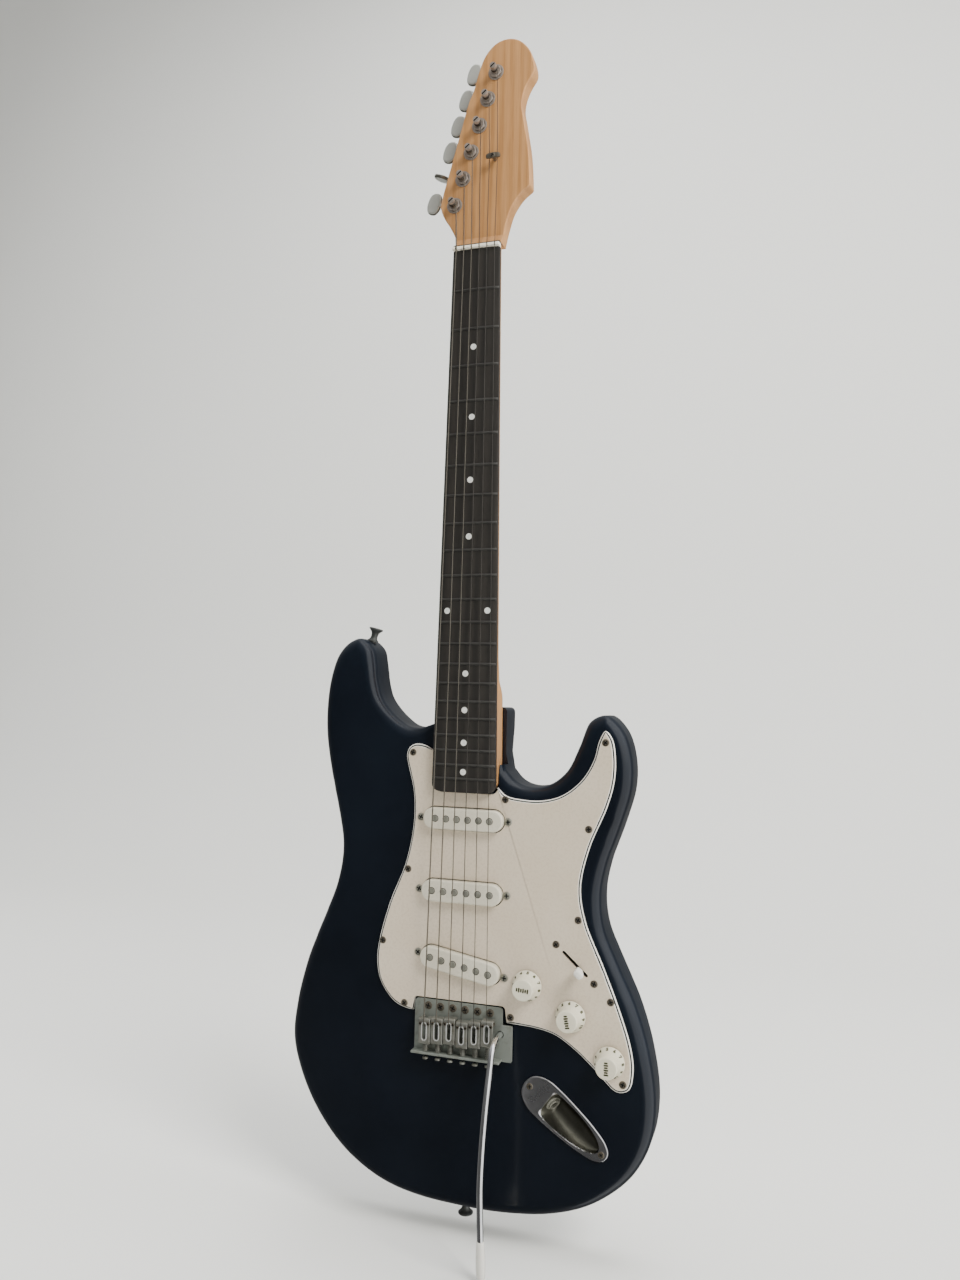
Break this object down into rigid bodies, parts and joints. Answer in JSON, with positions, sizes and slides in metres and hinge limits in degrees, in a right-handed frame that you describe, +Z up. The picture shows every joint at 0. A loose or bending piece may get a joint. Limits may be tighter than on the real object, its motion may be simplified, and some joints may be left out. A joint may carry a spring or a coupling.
{
  "type": "electric guitar",
  "caption": "Solid-body electric guitar with a bolt-on neck, single-coil pickups, tremolo bridge, working tuners, knobs and pickup selector.",
  "frame": {"origin": "outer face of the rear cover, on the centreline, level with the scale's end at the bridge", "axes": "+Z up the neck towards the headstock, +X towards the treble strings, the front faces -Y"},
  "size_m": [0.3266, 0.098, 1.0248],
  "materials": {
    "body_lacquer": "gloss dark navy lacquer over wood",
    "maple": "amber tinted satin lacquer",
    "rosewood": "oiled dark rosewood",
    "nut_ivory": "satin",
    "pickguard_plastic": "three-ply white, black, white, satin gloss",
    "white_plastic": "aged white, satin gloss",
    "chrome": "polished",
    "aged_nickel": "dulled with age",
    "steel": "satin",
    "string_steel": "wound and plain wire",
    "dark_metal": "satin black"
  },
  "bodies": {
    "root": {"body": "body_lacquer", "neck": "maple", "fingerboard": "rosewood", "nut": "nut_ivory", "neck_plate": "chrome", "rear_cover": "white_plastic", "pickguard": "pickguard_plastic", "neck_pickup": "white_plastic", "middle_pickup": "white_plastic", "bridge_pickup": "white_plastic", "volume_pot": "steel", "neck_tone_pot": "steel", "middle_tone_pot": "steel", "selector_switch": "steel", "jack_plate": "chrome", "jack_socket": "steel", "spring_claw": "steel", "upper_strap_button": "dark_metal", "lower_strap_button": "dark_metal", "string_tree": "aged_nickel", "tremolo_spring_1": "steel", "tremolo_spring_2": "steel", "tremolo_spring_3": "steel", "string_1": "string_steel", "string_2": "string_steel", "string_3": "string_steel", "string_4": "string_steel", "string_5": "string_steel", "string_6": "string_steel", "tuner_housing_1": "chrome", "tuner_housing_2": "chrome", "tuner_housing_3": "chrome", "tuner_housing_4": "chrome", "tuner_housing_5": "chrome", "tuner_housing_6": "chrome"},
    "volume_knob": {"volume_knob": "white_plastic"},
    "neck_tone_knob": {"neck_tone_knob": "white_plastic"},
    "middle_tone_knob": {"middle_tone_knob": "white_plastic"},
    "selector_lever": {"selector_lever": "white_plastic"},
    "bridge": {"bridge_plate": "aged_nickel", "tremolo_block": "steel"},
    "tremolo_arm": {"tremolo_arm": "steel"},
    "saddle_1": {"saddle_1": "aged_nickel"},
    "tuner_button_1": {"tuner_button_1": "chrome"},
    "tuner_post_1": {"tuner_post_1": "chrome"},
    "saddle_2": {"saddle_2": "aged_nickel"},
    "tuner_button_2": {"tuner_button_2": "chrome"},
    "tuner_post_2": {"tuner_post_2": "chrome"},
    "saddle_3": {"saddle_3": "aged_nickel"},
    "tuner_button_3": {"tuner_button_3": "chrome"},
    "tuner_post_3": {"tuner_post_3": "chrome"},
    "saddle_4": {"saddle_4": "aged_nickel"},
    "tuner_button_4": {"tuner_button_4": "chrome"},
    "tuner_post_4": {"tuner_post_4": "chrome"},
    "saddle_5": {"saddle_5": "aged_nickel"},
    "tuner_button_5": {"tuner_button_5": "chrome"},
    "tuner_post_5": {"tuner_post_5": "chrome"},
    "saddle_6": {"saddle_6": "aged_nickel"},
    "tuner_button_6": {"tuner_button_6": "chrome"},
    "tuner_post_6": {"tuner_post_6": "chrome"}
  },
  "joints": [
    {"name": "volume_turn", "type": "hinge", "parent": "root", "child": "volume_knob", "pos_m": [0.0575, -0.0488, 0.0288], "axis": [0, 1, 0], "range_deg": [-270, 0]},
    {"name": "neck_tone_turn", "type": "hinge", "parent": "root", "child": "neck_tone_knob", "pos_m": [0.0938, -0.0488, 0.0087], "axis": [0, 1, 0], "range_deg": [-270, 0]},
    {"name": "middle_tone_turn", "type": "hinge", "parent": "root", "child": "middle_tone_knob", "pos_m": [0.1256, -0.0488, -0.0227], "axis": [0, 1, 0], "range_deg": [-270, 0]},
    {"name": "selector_throw", "type": "hinge", "parent": "root", "child": "selector_lever", "pos_m": [0.0964, -0.0278, 0.0497], "axis": [0.6624, 0, 0.7492], "range_deg": [-39, 13]},
    {"name": "tremolo_rock", "type": "hinge", "parent": "root", "child": "bridge", "pos_m": [0, -0.0472, 0.006], "axis": [1, 0, 0], "range_deg": [-7, 2], "stiffness_Nm_per_rad": 40, "deforming": ["string_1", "string_2", "string_3", "string_4", "string_5", "string_6", "tremolo_spring_1", "tremolo_spring_2", "tremolo_spring_3"]},
    {"name": "arm_swing", "type": "hinge", "parent": "bridge", "child": "tremolo_arm", "pos_m": [0.036, -0.0492, -0.0125], "axis": [0, 1, 0], "range_deg": [-120, 40]},
    {"name": "saddle_6_slide", "type": "slide", "parent": "bridge", "child": "saddle_6", "axis": [0, 0, 1], "range_m": [-0.003, 0.003], "stiffness_N_per_m": 2000},
    {"name": "saddle_5_slide", "type": "slide", "parent": "bridge", "child": "saddle_5", "axis": [0, 0, 1], "range_m": [-0.003, 0.003], "stiffness_N_per_m": 2000},
    {"name": "saddle_4_slide", "type": "slide", "parent": "bridge", "child": "saddle_4", "axis": [0, 0, 1], "range_m": [-0.003, 0.003], "stiffness_N_per_m": 2000},
    {"name": "saddle_3_slide", "type": "slide", "parent": "bridge", "child": "saddle_3", "axis": [0, 0, 1], "range_m": [-0.003, 0.003], "stiffness_N_per_m": 2000},
    {"name": "saddle_2_slide", "type": "slide", "parent": "bridge", "child": "saddle_2", "axis": [0, 0, 1], "range_m": [-0.003, 0.003], "stiffness_N_per_m": 2000},
    {"name": "saddle_1_slide", "type": "slide", "parent": "bridge", "child": "saddle_1", "axis": [0, 0, 1], "range_m": [-0.003, 0.003], "stiffness_N_per_m": 2000},
    {"name": "tuner_6_turn", "type": "hinge", "parent": "root", "child": "tuner_button_6", "pos_m": [-0.0221, -0.0253, 0.69972], "axis": [-0.9563, 0, 0.2924], "continuous": true},
    {"name": "post_6_wind", "type": "hinge", "parent": "root", "child": "tuner_post_6", "pos_m": [-0.024, -0.045, 0.6935], "axis": [0, 1, 0], "continuous": true},
    {"name": "tuner_5_turn", "type": "hinge", "parent": "root", "child": "tuner_button_5", "pos_m": [-0.01499, -0.0253, 0.72295], "axis": [-0.9563, 0, 0.2924], "continuous": true},
    {"name": "post_5_wind", "type": "hinge", "parent": "root", "child": "tuner_post_5", "pos_m": [-0.0169, -0.045, 0.71674], "axis": [0, 1, 0], "continuous": true},
    {"name": "tuner_4_turn", "type": "hinge", "parent": "root", "child": "tuner_button_4", "pos_m": [-0.00789, -0.0253, 0.74619], "axis": [-0.9563, 0, 0.2924], "continuous": true},
    {"name": "post_4_wind", "type": "hinge", "parent": "root", "child": "tuner_post_4", "pos_m": [-0.00979, -0.045, 0.73998], "axis": [0, 1, 0], "continuous": true},
    {"name": "tuner_3_turn", "type": "hinge", "parent": "root", "child": "tuner_button_3", "pos_m": [-0.00079, -0.0253, 0.76943], "axis": [-0.9563, 0, 0.2924], "continuous": true},
    {"name": "post_3_wind", "type": "hinge", "parent": "root", "child": "tuner_post_3", "pos_m": [-0.00269, -0.045, 0.76321], "axis": [0, 1, 0], "continuous": true},
    {"name": "tuner_2_turn", "type": "hinge", "parent": "root", "child": "tuner_button_2", "pos_m": [0.00632, -0.0253, 0.79267], "axis": [-0.9563, 0, 0.2924], "continuous": true},
    {"name": "post_2_wind", "type": "hinge", "parent": "root", "child": "tuner_post_2", "pos_m": [0.00442, -0.045, 0.78645], "axis": [0, 1, 0], "continuous": true},
    {"name": "tuner_1_turn", "type": "hinge", "parent": "root", "child": "tuner_button_1", "pos_m": [0.01342, -0.0253, 0.81591], "axis": [-0.9563, 0, 0.2924], "continuous": true},
    {"name": "post_1_wind", "type": "hinge", "parent": "root", "child": "tuner_post_1", "pos_m": [0.01152, -0.045, 0.80969], "axis": [0, 1, 0], "continuous": true}
  ],
  "couplings": [
    {"joint": "post_6_wind", "follows": "tuner_6_turn", "ratio": 0.071429},
    {"joint": "post_5_wind", "follows": "tuner_5_turn", "ratio": 0.071429},
    {"joint": "post_4_wind", "follows": "tuner_4_turn", "ratio": 0.071429},
    {"joint": "post_3_wind", "follows": "tuner_3_turn", "ratio": 0.071429},
    {"joint": "post_2_wind", "follows": "tuner_2_turn", "ratio": 0.071429},
    {"joint": "post_1_wind", "follows": "tuner_1_turn", "ratio": 0.071429}
  ]
}
